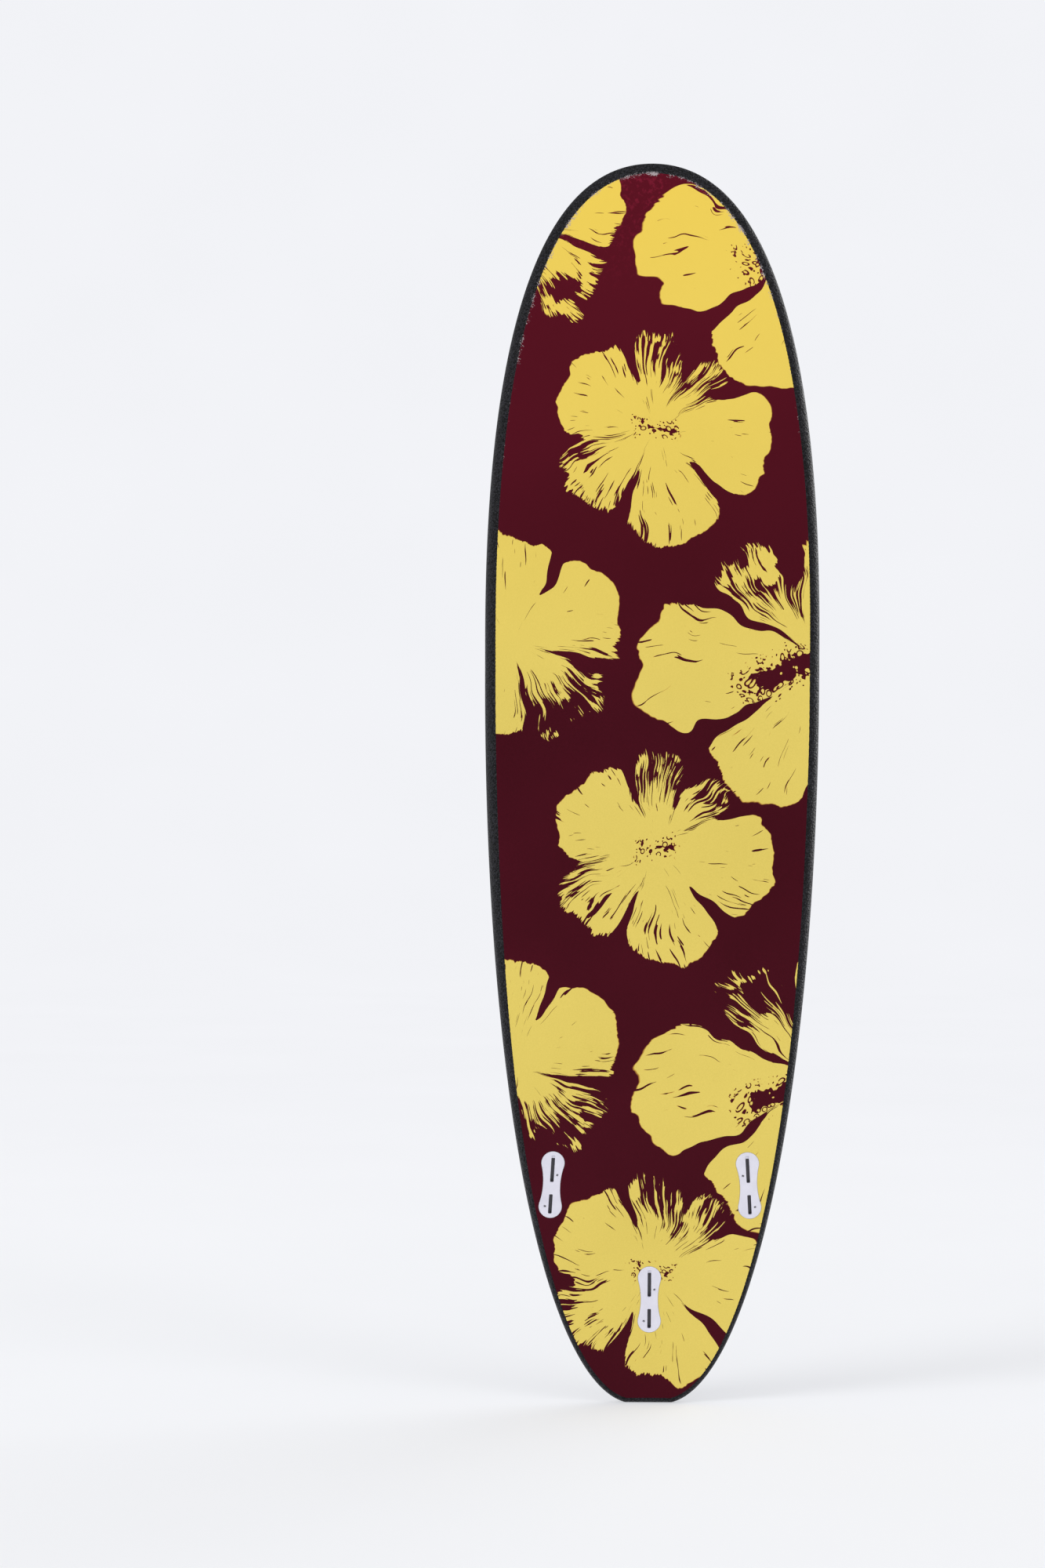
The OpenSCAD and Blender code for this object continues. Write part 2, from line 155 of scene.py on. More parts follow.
def smooth_path(route, step):
    """Points about a step apart on a smooth curve through the route's points."""
    points = np.array(route, float)
    ends = np.vstack([2 * points[0] - points[1], points, 2 * points[-1] - points[-2]])
    path = []
    for a, b, c, d in zip(ends, ends[1:], ends[2:], ends[3:]):
        n = max(1, int(round(np.linalg.norm(c - b) / step)))
        for t in np.arange(n) / n:
            path.append(
                0.5 * (2 * b + (c - a) * t + (2 * a - 5 * b + 4 * c - d) * t**2
                       + (3 * b - a - 3 * c + d) * t**3)
            )
    path.append(points[-1])
    return np.array(path)


# Length of a strand's full turn round the cord, strands each way, and their relief
BRAID_PITCH = 0.0085
BRAID_STRANDS = 5
BRAID_RELIEF = 0.12
# How blunt a rounded end is: it starts this share of the radius in
END_BLUNT = 0.03


def braided_tube(name, path, radius, sides=40, ends_round=False):
    """A cord along a path: two sets of strands wind round it opposite ways, in low relief."""
    along = np.gradient(path, axis=0)
    along /= np.linalg.norm(along, axis=1)[:, None]
    side = np.cross(along[0], [0.3, 0.8, 0.5])
    gone = np.concatenate([[0], np.cumsum(np.linalg.norm(np.diff(path, axis=0), axis=1))])
    angles = 2 * math.pi * np.arange(sides) / sides
    points = []
    for i, centre in enumerate(path):
        side = side - along[i] * side.dot(along[i])
        side /= np.linalg.norm(side)
        up = np.cross(along[i], side)
        turn = 2 * math.pi * gone[i] / BRAID_PITCH
        weave = (
            np.cos(BRAID_STRANDS * (angles + turn)) * np.cos(BRAID_STRANDS * (angles - turn))
        )
        r = radius * (1 - BRAID_RELIEF + BRAID_RELIEF * weave)
        if ends_round:
            to_end = min(gone[i], gone[-1] - gone[i]) / radius
            r = r * math.sqrt(max(0.0, 1 - (1 - min(1.0, to_end + END_BLUNT)) ** 2))
        across, upward = np.outer(r * np.cos(angles), side), np.outer(r * np.sin(angles), up)
        points.extend(centre + across + upward)
    faces = [
        (i * sides + k, i * sides + (k + 1) % sides,
         (i + 1) * sides + (k + 1) % sides, (i + 1) * sides + k)
        for i in range(len(path) - 1) for k in range(sides)
    ]
    faces += [tuple(range(sides)), tuple((len(path) - 1) * sides + k for k in range(sides))]
    return new_piece(name, points, faces)


# ---- Leash string and its knot --------------------------------------------------------

STRING_D = 0.0035
# Up from the knot, into the cup, round behind the pin, out and down again
STRING_ROUTE = [
    (-0.0021, 0.0170, 0.0065), (-0.0021, 0.0172, 0.0120), (-0.0022, 0.0173, 0.0180),
    (-0.0025, 0.0182, 0.0240), (-0.0027, 0.0190, 0.0310), (-0.0028, 0.0194, 0.0380),
    (-0.0028, 0.0198, 0.0440), (-0.0027, 0.0196, 0.0500), (-0.0025, 0.0174, 0.0550),
    (-0.0023, 0.0130, 0.0580), (-0.0021, 0.0080, 0.0584), (-0.0019, 0.0040, 0.0581),
    (-0.0012, 0.0004, 0.0566), (0.0000, -0.0011, 0.0530), (0.0012, 0.0004, 0.0494),
    (0.0019, 0.0040, 0.0479), (0.0021, 0.0085, 0.0478), (0.0023, 0.0135, 0.0483),
    (0.0025, 0.0182, 0.0486), (0.0027, 0.0212, 0.0464), (0.0028, 0.0215, 0.0420),
    (0.0028, 0.0204, 0.0365), (0.0027, 0.0193, 0.0305), (0.0025, 0.0184, 0.0240),
    (0.0022, 0.0174, 0.0180), (0.0021, 0.0172, 0.0120), (0.0021, 0.0170, 0.0065),
]
KNOT_AT = np.array([0, 0.017, 0.0056])


def make_knot():
    """Two tight turns crossing over each other, with the string's two short ends leaving it."""
    coil_path = []
    for t in np.linspace(0, 2 * math.pi, 90, endpoint=False):
        x = 0.0017 * (math.sin(t) + 1.9 * math.sin(2 * t))
        y = 0.0014 * (math.cos(t) - 2.0 * math.cos(2 * t)) * 0.75
        coil_path.append(KNOT_AT + [x, y, 0.0021 * math.sin(3 * t)])
    coil_path.append(coil_path[0])
    coil = braided_tube("leash_knot_tied", np.array(coil_path), 0.98 * STRING_D / 2)
    ends = [
        [(0.002, 0, 0), (0.0055, 0.0005, -0.0005), (0.0085, 0.0022, -0.0022),
         (0.0102, 0.0045, -0.0034)],
        [(0.000, 0.001, 0), (0.0028, 0.004, -0.0015), (0.0048, 0.0068, -0.0031),
         (0.0058, 0.0092, -0.0036)],
    ]
    for i, end in enumerate(ends):
        path = smooth_path([KNOT_AT + p for p in end], step=0.0003)
        tail = braided_tube(f"knot_end_{i}", path, STRING_D / 2, ends_round=True)
        join_into(coil, tail)
    return coil


def join_into(piece, other):
    """Adds another object's mesh to the piece's own."""
    work = bmesh.new()
    work.from_mesh(piece.data)
    work.from_mesh(other.data)
    work.to_mesh(piece.data)
    work.free()
    bpy.data.objects.remove(other)


string_path = smooth_path(STRING_ROUTE, step=0.00035)
string = braided_tube("leash_string_braided", string_path, STRING_D / 2)
knot = make_knot()
for piece, node in ((string, "leash_string"), (knot, "leash_knot")):
    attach(piece, "board")
    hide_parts(node)

# ---- Shape of the board ---------------------------------------------------------------


def ease(t):
    """A smooth step from 0 to 1."""
    t = np.clip(t, 0, 1)
    return t * t * (3 - 2 * t)


def bottom_y(z):
    """Where the bottom's middle line lies at this height, with the rocker of both ends."""
    up = np.where(
        z > FLAT_Z,
        NOSE_ROCKER * (np.maximum(z - FLAT_Z, 0) / (BOARD_L - FLAT_Z)) ** NOSE_POWER,
        TAIL_ROCKER * (np.maximum(FLAT_Z - z, 0) / FLAT_Z) ** 2,
    )
    return up - TAIL_ROCKER - APEX_SHARE * TAIL_T


def thickness(z):
    """The board's thickness on its middle line."""
    ahead = (np.maximum(z - THICK_Z, 0) / (BOARD_L - THICK_Z)) ** THIN_POWER
    behind = (np.maximum(THICK_Z - z, 0) / THICK_Z) ** THIN_POWER
    return np.where(
        z > THICK_Z,
        NOSE_T + (BOARD_T - NOSE_T) * (1 - ahead),
        TAIL_T + (BOARD_T - TAIL_T) * (1 - behind),
    )


def lip(z):
    """The width of the deck skin's lip on the bottom."""
    return TAIL_LIP_W + (LIP_W - TAIL_LIP_W) * ease(z / BOARD_L / 0.5)


def deck_rail(z):
    """How far in the deck's rounding reaches, which is less near both ends."""
    return END_RAIL_W + (RAIL_W - END_RAIL_W) * ease(z / 0.3) * ease((BOARD_L - z) / 0.4)


def bezier(p, t):
    """Points on the cubic curve with these ends and handles, at each t."""
    p, t = np.array(p), t[:, None]
    u = 1 - t
    return u**3 * p[0] + 3 * u**2 * t * p[1] + 3 * u * t * t * p[2] + t**3 * p[3]


class Outline:
    """The board's outline at a chosen fineness, and the rings and spines set in from it."""

    def __init__(self, flat_n, tail_n, nose_n):
        half_w = BOARD_W / 2
        # Each curve's start, its two handles and its end
        tail = [
            (TAIL_W / 2, 0), (0.635 * half_w, 0.0175 * BOARD_L),
            (half_w, 0.44 * WIDE_Z), (half_w, WIDE_Z),
        ]
        nose = [
            (half_w, WIDE_Z), (half_w, WIDE_Z + 0.17 * (BOARD_L - WIDE_Z)),
            (1.06 * half_w, BOARD_L), (0, BOARD_L),
        ]
        # Steps shorten towards the ends, where the outline turns fastest
        tail_t = (np.arange(tail_n) / tail_n) ** 1.25
        nose_t = 1 - (1 - np.arange(nose_n + 1) / nose_n) ** 1.1
        right = np.vstack([
            np.stack([TAIL_W / 2 * np.arange(flat_n) / flat_n, np.zeros(flat_n)], 1),
            bezier(tail, tail_t),
            bezier(nose, nose_t),
        ])
        left = right[-2:0:-1] * [-1, 1]
        self.points = np.vstack([right, left])
        self.n = len(self.points)
        along = np.roll(self.points, -1, 0) - np.roll(self.points, 1, 0)
        along /= np.linalg.norm(along, axis=1)[:, None]
        self.inward = np.stack([-along[:, 1], along[:, 0]], 1)
        steps = np.linalg.norm(self.points - np.roll(self.points, 1, 0), axis=1)
        self.gone = np.cumsum(steps)

    def edge(self, e):
        """The outline, set in by e."""
        return self.points + self.inward * e

    def spine(self, e):
        """The place on the middle line that each of the outline's points runs in to."""
        z = BOARD_L / 2 + (self.edge(e)[:, 1] - BOARD_L / 2) * SPINE_SHARE
        return np.stack([np.zeros(self.n), z], 1)

    def from_edge(self, e, d):
        """Places a distance d in from the set-in outline, towards the spine."""
        b, s = self.edge(e), self.spine(e)
        return b + (s - b) * (d / np.linalg.norm(s - b, axis=1))[:, None]

    def share(self, e, p):
        """How much of the way from the set-in outline to the spine the places p have gone."""
        b, s = self.edge(e), self.spine(e)
        return np.linalg.norm(p - b, axis=1) / np.linalg.norm(s - b, axis=1)

    def as_bottom(self, p, e, turn):
        """Puts places on the bottom, e inside its surface and turned this far round the rail."""
        low = APEX_SHARE * thickness(p[:, 1]) - BAND_H / 2
        y = bottom_y(p[:, 1]) + e + (low - e) * (1 - math.sin(turn))
        return np.stack([p[:, 0], y, p[:, 1]], 1)

    def as_deck(self, p, e, q, turn):
        """Puts places on the crowned deck in the same way, q being their share of the way in."""
        high = APEX_SHARE * thickness(p[:, 1]) + BAND_H / 2
        top = thickness(p[:, 1]) * (1 - CROWN * (1 - q) ** 2) - e
        y = bottom_y(p[:, 1]) + high + (top - high) * math.sin(turn)
        return np.stack([p[:, 0], y, p[:, 1]], 1)

    def bottom_rail(self, e, turn):
        r = lip(self.points[:, 1]) - e
        return self.as_bottom(self.from_edge(e, r * (1 - math.cos(turn))), e, turn)

    def bottom_inside(self, e, f, short=0.0):
        """A share f of the way in from the lip's inner edge, which short moves outwards."""
        start = self.from_edge(e, lip(self.points[:, 1]) - e - short)
        return self.as_bottom(start + (self.spine(e) - start) * f, e, math.pi / 2)

    def deck_curve(self, e, turn):
        r = deck_rail(self.points[:, 1]) - e
        p = self.from_edge(e, r * (1 - math.cos(turn)))
        return self.as_deck(p, e, self.share(e, p), turn)

    def deck_inside(self, e, f):
        start = self.from_edge(e, deck_rail(self.points[:, 1]) - e)
        p = start + (self.spine(e) - start) * f
        return self.as_deck(p, e, self.share(e, p), math.pi / 2)

    def bottom_spine(self, e):
        return self.as_bottom(self.spine(e), e, math.pi / 2)

    def deck_spine(self, e):
        return self.as_deck(self.spine(e), e, np.ones(self.n), math.pi / 2)


def loft(name, outline, first_spine, rings, last_spine):
    """A closed solid from one spine out through rings and back to another spine."""
    rows = [first_spine, *rings, last_spine]
    n = outline.n
    points = np.vstack(rows)
    faces = [
        (k * n + i, (k + 1) * n + i, (k + 1) * n + (i + 1) % n, k * n + (i + 1) % n)
        for k in range(len(rows) - 1) for i in range(n)
    ]
    # The two halves of each spine lie on each other, and new_piece merges them
    return new_piece(name, points, faces)


def turns(n):
    """Angles from 0 to a quarter turn, in n steps."""
    return [math.radians(90 * k / n) for k in range(n + 1)]


# ---- Deck skin ------------------------------------------------------------------------


def cut_with(piece, cutter):
    """Takes the cutter's solid out of the piece, and removes the cutter."""
    cut = piece.modifiers.new("cut", "BOOLEAN")
    cut.operation = "DIFFERENCE"
    cut.solver = "MANIFOLD"
    cut.object = cutter
    graph = bpy.context.evaluated_depsgraph_get()
    applied = bpy.data.meshes.new_from_object(piece.evaluated_get(graph))
    piece.modifiers.clear()
    old, piece.data = piece.data, applied
    bpy.data.meshes.remove(old)
    bpy.data.objects.remove(cutter)


def prism(name, outline_points, depth_range, place):
    """A straight-sided solid: an outline in x and y between two depths, put in place."""
    n = len(outline_points)
    points = [place @ Vector((x, y, z)) for z in depth_range for x, y in outline_points]
    faces = [tuple(range(n)), tuple(range(n, 2 * n))]
    faces += [(k, (k + 1) % n, n + (k + 1) % n, n + k) for k in range(n)]
    return new_piece(name, points, faces, smooth=False)


def circle_points(r, n):
    angles = [2 * math.pi * k / n for k in range(n)]
    return [(r * math.cos(a), r * math.sin(a)) for a in angles]


def make_deck():
    shape = Outline(flat_n=8, tail_n=150, nose_n=150)
    under = [shape.deck_inside(SKIN_T, f) for f in (0.75, 0.5, 0.25)]
    under += [shape.deck_curve(SKIN_T, t) for t in reversed(turns(6))]
    under += [shape.bottom_rail(SKIN_T, t) for t in turns(5)]
    outside = [shape.bottom_rail(SLICK_T, math.pi / 2)]
    outside += [shape.bottom_rail(0, t) for t in reversed(turns(10))]
    outside += [shape.deck_curve(0, t) for t in turns(16)]
    outside += [shape.deck_inside(0, f) for f in np.linspace(0, 1, 12)[1:-1]]
    deck = loft(
        "deck_foam_skin", shape, shape.deck_spine(SKIN_T), under + outside, shape.deck_spine(0)
    )
    mouth = Matrix.Translation((0, CUP_RIM_Y, CUP_Z)) @ Matrix.Rotation(math.radians(-90), 4, "X")
    cut_with(deck, prism("mouth", circle_points(MOUTH_R, 64), (0, CUT_DEPTH), mouth))
    return deck


deck = make_deck()
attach(deck, "board")
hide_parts("deck_skin")

# ---- Hard bottom sheet ----------------------------------------------------------------

SLICK_PROUD = 0.0003
SLICK_OVER_LIP = 0.0010
# How many steps the sheet's outline has: across the tail, up to the widest point, and beyond
SLICK_STEPS = (24, 560, 560)
# Depth of the little teeth that the trimming left, and of its random wander
TEETH_DEPTH = 0.00035
WANDER_DEPTH = 0.0003
# Clearance between the sheet and each fin box's edge
BOX_GAP = 0.0005
# How far the heat of the joint has marked the sheet and the foam on each side of it
SEAM_W = 0.006


def peanut_points(grow, n=40):
    """Two round ends joined by a waist with hollow sides, all tangent to each other."""
    hollow_r = ((WAIST_W / 2) ** 2 + LOBE_Y**2 - LOBE_R**2) / (2 * LOBE_R - WAIST_W)
    hollow_x = hollow_r + WAIST_W / 2
    meet = math.atan2(LOBE_Y, hollow_x)
    r, hollow = LOBE_R + grow, hollow_r - grow
    right = [
        (r * math.cos(a), LOBE_Y + r * math.sin(a)) for a in np.linspace(-meet, math.pi / 2, n)
    ][::-1]
    waist = [
        (hollow_x - hollow * math.cos(a), hollow * math.sin(a))
        for a in np.linspace(meet, -meet, n)
    ][1:-1]
    quarter = right + waist + [(x, -y) for x, y in reversed(right)]
    return quarter + [(-x, y) for x, y in reversed(quarter[1:-1])]


def box_place(side):
    """Where a fin box's face lies: +Z out of the face, +Y towards the nose."""
    x, z, toe, mirrored = BOXES[side]
    slope = math.atan(2 * TAIL_ROCKER * (FLAT_Z - z) / FLAT_Z**2)
    place = (
        Matrix.Translation((x, float(bottom_y(np.float64(z))), z))
        @ Matrix.Rotation(math.radians(90) + slope, 4, "X")
        @ Matrix.Rotation(math.radians(toe), 4, "Z")
    )
    return place @ Matrix.Diagonal((-1, 1, 1, 1)) if mirrored else place


def make_slick():
    shape = Outline(*SLICK_STEPS)
    # The trimmed edge wanders and is finely serrated
    rng = np.random.default_rng(7)
    teeth = np.sin(2 * math.pi * shape.gone / 0.0065 + 2 * np.sin(shape.gone / 0.021))
    ragged = TEETH_DEPTH * (0.5 + 0.5 * teeth) + WANDER_DEPTH * rng.random(shape.n)
    over = SLICK_OVER_LIP - ragged
    rings = [shape.bottom_inside(-SLICK_PROUD, f) for f in np.linspace(1, 0, 12)[1:-1]]
    # Out to the rounded edge, which lies over the deck skin's lip, and back in underneath
    rings += [
        shape.bottom_inside(-SLICK_PROUD, 0.0, -SEAM_W),
        shape.bottom_inside(-SLICK_PROUD, 0.0, over - SLICK_PROUD),
        shape.bottom_inside(-0.5 * SLICK_PROUD, 0.0, over),
        shape.bottom_inside(0.5 * SLICK_PROUD, 0.0, over),
        shape.bottom_inside(0.5 * SLICK_T, 0.0),
        shape.bottom_inside(SLICK_T, 0.0),
    ]
    rings += [shape.bottom_inside(SLICK_T, f) for f in (0.33, 0.67)]
    slick = loft(
        "bottom_slick_printed", shape,
        shape.bottom_spine(-SLICK_PROUD), rings, shape.bottom_spine(SLICK_T),
    )
    for side in BOXES:
        depths = (-CUT_DEPTH / 2, CUT_DEPTH / 2)
        cut_with(slick, prism("cut", peanut_points(BOX_GAP), depths, box_place(side)))
    return slick


slick = make_slick()
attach(slick, "board")
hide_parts("bottom_slick")


def mark_seam(*pieces):
    """Stores on each point how near it is to the sheet's trimmed edge: 1 on it, 0 well away."""
    seam = Outline(*SLICK_STEPS).bottom_inside(0.0, 0.0)
    tree = KDTree(len(seam))
    for i, point in enumerate(seam):
        tree.insert(point, i)
    tree.balance()
    for piece in pieces:
        near = [max(0.0, 1 - tree.find(v.co)[2] / SEAM_W) for v in piece.data.vertices]
        piece.data.attributes.new("seam", "FLOAT", "POINT").data.foreach_set("value", near)


mark_seam(deck, slick)

# ---- Roller springs -------------------------------------------------------------------

# The rubber block ahead of each retaining roller, on the fin box's own axes
SPRING_FROM = 0.0494
SPRING_TO = 0.0530
SPRING_DEPTH = -0.0058
SPRING_W = 0.008
SPRING_H = 0.004
SPRING_GROOVE = 0.0003
SPRING_GROOVES = 3
# How square the block is in section: 1 is an ellipse, 0 a rectangle
SPRING_ROUNDING = 0.3


def make_spring(side):
    """A block with rounded corners and three shallow grooves round it, so that it gives way."""
    place = box_place(side)
    rings, sides = 25, 48
    points = []
    for k in range(rings):
        t = k / (rings - 1)
        wave = math.sin(SPRING_GROOVES * math.pi * t) ** 2
        inset = SPRING_GROOVE * (wave + (k in (0, rings - 1)))
        y = SPRING_FROM + (SPRING_TO - SPRING_FROM) * t
        for a in np.linspace(0, 2 * math.pi, sides, endpoint=False):
            c, s = math.cos(a), math.sin(a)
            x = (SPRING_W / 2 - inset) * math.copysign(abs(c) ** SPRING_ROUNDING, c)
            z = (SPRING_H / 2 - inset) * math.copysign(abs(s) ** SPRING_ROUNDING, s)
            points.append(place @ Vector((x, y, SPRING_DEPTH + z)))
    faces = [
        (k * sides + i, k * sides + (i + 1) % sides,
         (k + 1) * sides + (i + 1) % sides, (k + 1) * sides + i)
        for k in range(rings - 1) for i in range(sides)
    ]
    faces += [tuple(range(sides)), tuple((rings - 1) * sides + i for i in range(sides))]
    spring = new_piece(f"roller_spring_{side}_rubber", points, faces)
    spring.data.set_sharp_from_angle(angle=math.radians(50))
    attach(spring, "board")
    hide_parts(f"roller_spring_{side}")
    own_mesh(spring)
    return spring


springs = [make_spring(side) for side in BOXES]

# ---- Smooth shading -------------------------------------------------------------------

# The large faces keep their shading beside the small ones of the rounded edges
for part in (deck, slick):
    part.data.shade_smooth()
    normals = part.modifiers.new("normals", "WEIGHTED_NORMAL")
    normals.keep_sharp = True
    part.data.set_sharp_from_angle(angle=math.radians(40))

# ---- Materials ------------------------------------------------------------------------


class Field:
    """A number that varies over a surface. It combines with + - * / as numbers do."""

    def __init__(self, tree, socket):
        self.tree, self.socket = tree, socket

    def math(self, operation, *others):
        node = self.tree.nodes.new("ShaderNodeMath")
        node.operation = operation
        for socket, value in zip(node.inputs, (self, *others)):
            if isinstance(value, Field):
                self.tree.links.new(value.socket, socket)
            else:
                socket.default_value = value
        return Field(self.tree, node.outputs[0])

    def __add__(self, other):
        return self.math("ADD", other)

    def __sub__(self, other):
        return self.math("SUBTRACT", other)

    def __mul__(self, other):
        return self.math("MULTIPLY", other)

    def __truediv__(self, other):
        return self.math("DIVIDE", other)

    def between(self, low, high):
        """0 at low and 1 at high, clamped; low may be the greater."""
        node = self.tree.nodes.new("ShaderNodeMapRange")
        self.tree.links.new(self.socket, node.inputs["Value"])
        node.inputs["From Min"].default_value = low
        node.inputs["From Max"].default_value = high
        return Field(self.tree, node.outputs["Result"])

    def curve(self, points):
        """The height of a curve through the points, which run from x = 0 to 1."""
        node = self.tree.nodes.new("ShaderNodeFloatCurve")
        self.tree.links.new(self.socket, node.inputs["Value"])
        curve = node.mapping.curves[0]
        curve.points[0].location, curve.points[1].location = points[0], points[-1]
        for x, y in points[1:-1]:
            curve.points.new(x, y)
        for point in curve.points:
            point.handle_type = "AUTO_CLAMPED"
        node.mapping.update()
        return Field(self.tree, node.outputs["Value"])


class Finish:
    """A material's node tree, with its Principled shader and the place on the object."""

    def __init__(self, name, roughness=0.5, metallic=0.0, **sockets):
        self.material = bpy.data.materials.new(name)
        self.material.use_nodes = True
        self.tree = self.material.node_tree
        self.shader = self.tree.nodes["Principled BSDF"]
        self.shader.inputs["Roughness"].default_value = roughness
        self.shader.inputs["Metallic"].default_value = metallic
        for socket, value in sockets.items():
            self.shader.inputs[socket.replace("_", " ")].default_value = value
        place = self.tree.nodes.new("ShaderNodeTexCoord")
        self.place = place.outputs["Object"]
        split = self.tree.nodes.new("ShaderNodeSeparateXYZ")
        self.tree.links.new(self.place, split.inputs[0])
        self.x, self.y, self.z = (Field(self.tree, split.outputs[k]) for k in range(3))

    def vector(self, x, y, z):
        node = self.tree.nodes.new("ShaderNodeCombineXYZ")
        for socket, value in zip(node.inputs, (x, y, z)):
            if isinstance(value, Field):
                self.tree.links.new(value.socket, socket)
            else:
                socket.default_value = value
        return node.outputs[0]

    def noise(self, size, detail, rough=0.5, at=None):
        """Soft noise whose features are about this size, in metres."""
        node = self.tree.nodes.new("ShaderNodeTexNoise")
        self.tree.links.new(at or self.place, node.inputs["Vector"])
        node.inputs["Scale"].default_value = 1 / size
        node.inputs["Detail"].default_value = detail
        node.inputs["Roughness"].default_value = rough
        return Field(self.tree, node.outputs["Fac"])

    def cells(self, size, at=None):
        """How far each place is from the middle of its cell; cells are about this size."""
        node = self.tree.nodes.new("ShaderNodeTexVoronoi")
        self.tree.links.new(at or self.place, node.inputs["Vector"])
        node.inputs["Scale"].default_value = 1 / size
        return Field(self.tree, node.outputs["Distance"])

    def stored(self, name):
        """A value that the mesh keeps on its points."""
        node = self.tree.nodes.new("ShaderNodeAttribute")
        node.attribute_name = name
        return Field(self.tree, node.outputs["Fac"])

    def ramp(self, value, stops):
        """A colour for each value: stops are (position, (r, g, b))."""
        node = self.tree.nodes.new("ShaderNodeValToRGB")
        self.tree.links.new(value.socket, node.inputs["Fac"])
        elements = node.color_ramp.elements
        while len(elements) < len(stops):
            elements.new(0.5)
        for element, (position, colour) in zip(elements, stops):
            element.position = position
            element.color = (*colour, 1)
        return node.outputs["Color"]

    def mix(self, share, low, high):
        """A colour between two, each an output or (r, g, b)."""
        node = self.tree.nodes.new("ShaderNodeMix")
        node.data_type = "RGBA"
        self.tree.links.new(share.socket, node.inputs["Factor"])
        colours = [s for s in node.inputs if s.type == "RGBA"]
        for socket, value in zip(colours, (low, high)):
            if isinstance(value, tuple):
                socket.default_value = (*value, 1)
            else:
                self.tree.links.new(value, socket)
        return next(s for s in node.outputs if s.type == "RGBA")

    def colour(self, output):
        self.tree.links.new(output, self.shader.inputs["Base Color"])

    def glow(self, output):
        self.tree.links.new(output, self.shader.inputs["Emission Color"])

    def roughness(self, value):
        self.tree.links.new(value.socket, self.shader.inputs["Roughness"])

    def bump(self, height, depth):
        node = self.tree.nodes.new("ShaderNodeBump")
        node.inputs["Distance"].default_value = depth
        self.tree.links.new(height.socket, node.inputs["Height"])
        self.tree.links.new(node.outputs["Normal"], self.shader.inputs["Normal"])

    def on(self, *pieces):
        for piece in pieces:
            piece.data.materials.clear()
            piece.data.materials.append(self.material)


def foam_finish(name, dark, light, cell, depth, **sockets):
    """Moulded foam: small rounded pebbles with thin valleys, and slow changes of tone."""
    made = Finish(name, **sockets)
    pebbles = made.cells(cell)
    # Painted highlights: pale specks in the colour on the pebbles' tops stand for the light they
    # catch
    specks = made.noise(0.8 * cell, 1, 0.4)
    fine = made.noise(cell / 4, 3)
    slow = made.noise(0.12, 2)
    # Painted shade: the colour darkens towards the thin valleys between the pebbles
    tone = specks * 0.80 + pebbles * -0.25 + fine * 0.15 + slow * 0.20
    made.paint = made.ramp(tone, [(0.38, dark), (0.60, light)])
    made.colour(made.paint)
    made.roughness(fine * 0.20 + 0.28)
    made.bump(pebbles * -1 + specks * 0.8 + fine * 0.1, depth)
    return made


CRUMBS_ON_FOAM = (0.30, 0.27, 0.28)
CRUMBS_ON_PRINT = (0.36, 0.31, 0.32)


def heat_marks(made):
    """Pale crumbs left by the joint along the sheet's edge, most of them round the nose."""
    nose = made.z.between(1.2, 2.0) * 0.22
    crumbs = made.noise(0.0020, 2, 0.6) * 0.6 + made.noise(0.018, 1) * 0.4
    near = made.stored("seam").between(0.0, 0.9) * 0.10
    return (crumbs + near + nose - 0.86).between(-0.02, 0.02)


def deck_finish():
    made = foam_finish(
        "deck_foam_pebbled", (0.0025, 0.0025, 0.0032), (0.0175, 0.0172, 0.0222),
        cell=0.0038, depth=0.0020, Specular_IOR_Level=0.15,
    )
    marks = heat_marks(made) * made.stored("seam").between(0.2, 0.5)
    made.colour(made.mix(marks, made.paint, CRUMBS_ON_FOAM))
    return made


deck_finish().on(deck)

# ---- Printed flowers ------------------------------------------------------------------

# The print's colours: each one's range, and the brighter tone it turns to near the nose, a painted
# highlight
BURGUNDY = [(0.3, (0.040, 0.0016, 0.0055)), (0.7, (0.058, 0.0026, 0.0090))]
BURGUNDY_NOSE_PAINTED_SHEEN = (0.090, 0.0032, 0.0110)
BURGUNDY_STAIN = (0.170, 0.0080, 0.0240)
YELLOW = [(0.3, (0.635, 0.495, 0.104)), (0.7, (0.700, 0.550, 0.124))]
YELLOW_NOSE_PAINTED_SHEEN = (0.780, 0.560, 0.085)
# Where the yellow ink thins out over the burgundy
FRINGE = (0.42, 0.20, 0.035)
# The print repeats up the board
PRINT_REPEAT = 0.718
# The sheet's backing cloth shows through as a fine weave, this many radians a metre
WEAVE = 2 * math.pi / 0.0024
# How sharp the ink's edge is, as a share of a petal's length on each side of it
INK_EDGE = 0.004
# Each flower is its centre's x and z, its size, and its petals anticlockwise: direction and
# half width in degrees, length, how streaky it is, and how far from the middle the valley
# before it starts
FLOWERS = [
    (0.004, 0.230, 0.205, [
        (42, 15, 0.83, 0.95, 0.66), (88, 19, 0.88, 0.95, 0.62), (149, 38, 0.86, 0.35, 0.46),
        (214, 24, 0.90, 0.75, 0.76), (286, 29, 0.97, 0.40, 0.40), (352, 36, 1.00, 0.30, 0.42),
    ]),
    (0.284, 0.549, 0.320, [
        (85, 20, 0.68, 0.50, 0.60), (125, 20, 0.76, 1.05, 0.64), (179, 28, 0.97, 0.35, 0.16),
        (244, 26, 0.84, 0.35, 0.34), (300, 28, 0.80, 0.30, 0.50), (5, 34, 0.80, 0.30, 0.50),
    ]),
    (-0.236, 0.582, 0.215, [
        (28, 31, 0.90, 0.25, 0.24), (100, 34, 0.85, 0.35, 0.50), (170, 34, 0.80, 0.30, 0.50),
        (245, 32, 0.80, 0.40, 0.50), (310, 25, 0.95, 1.25, 0.34),
    ]),
]


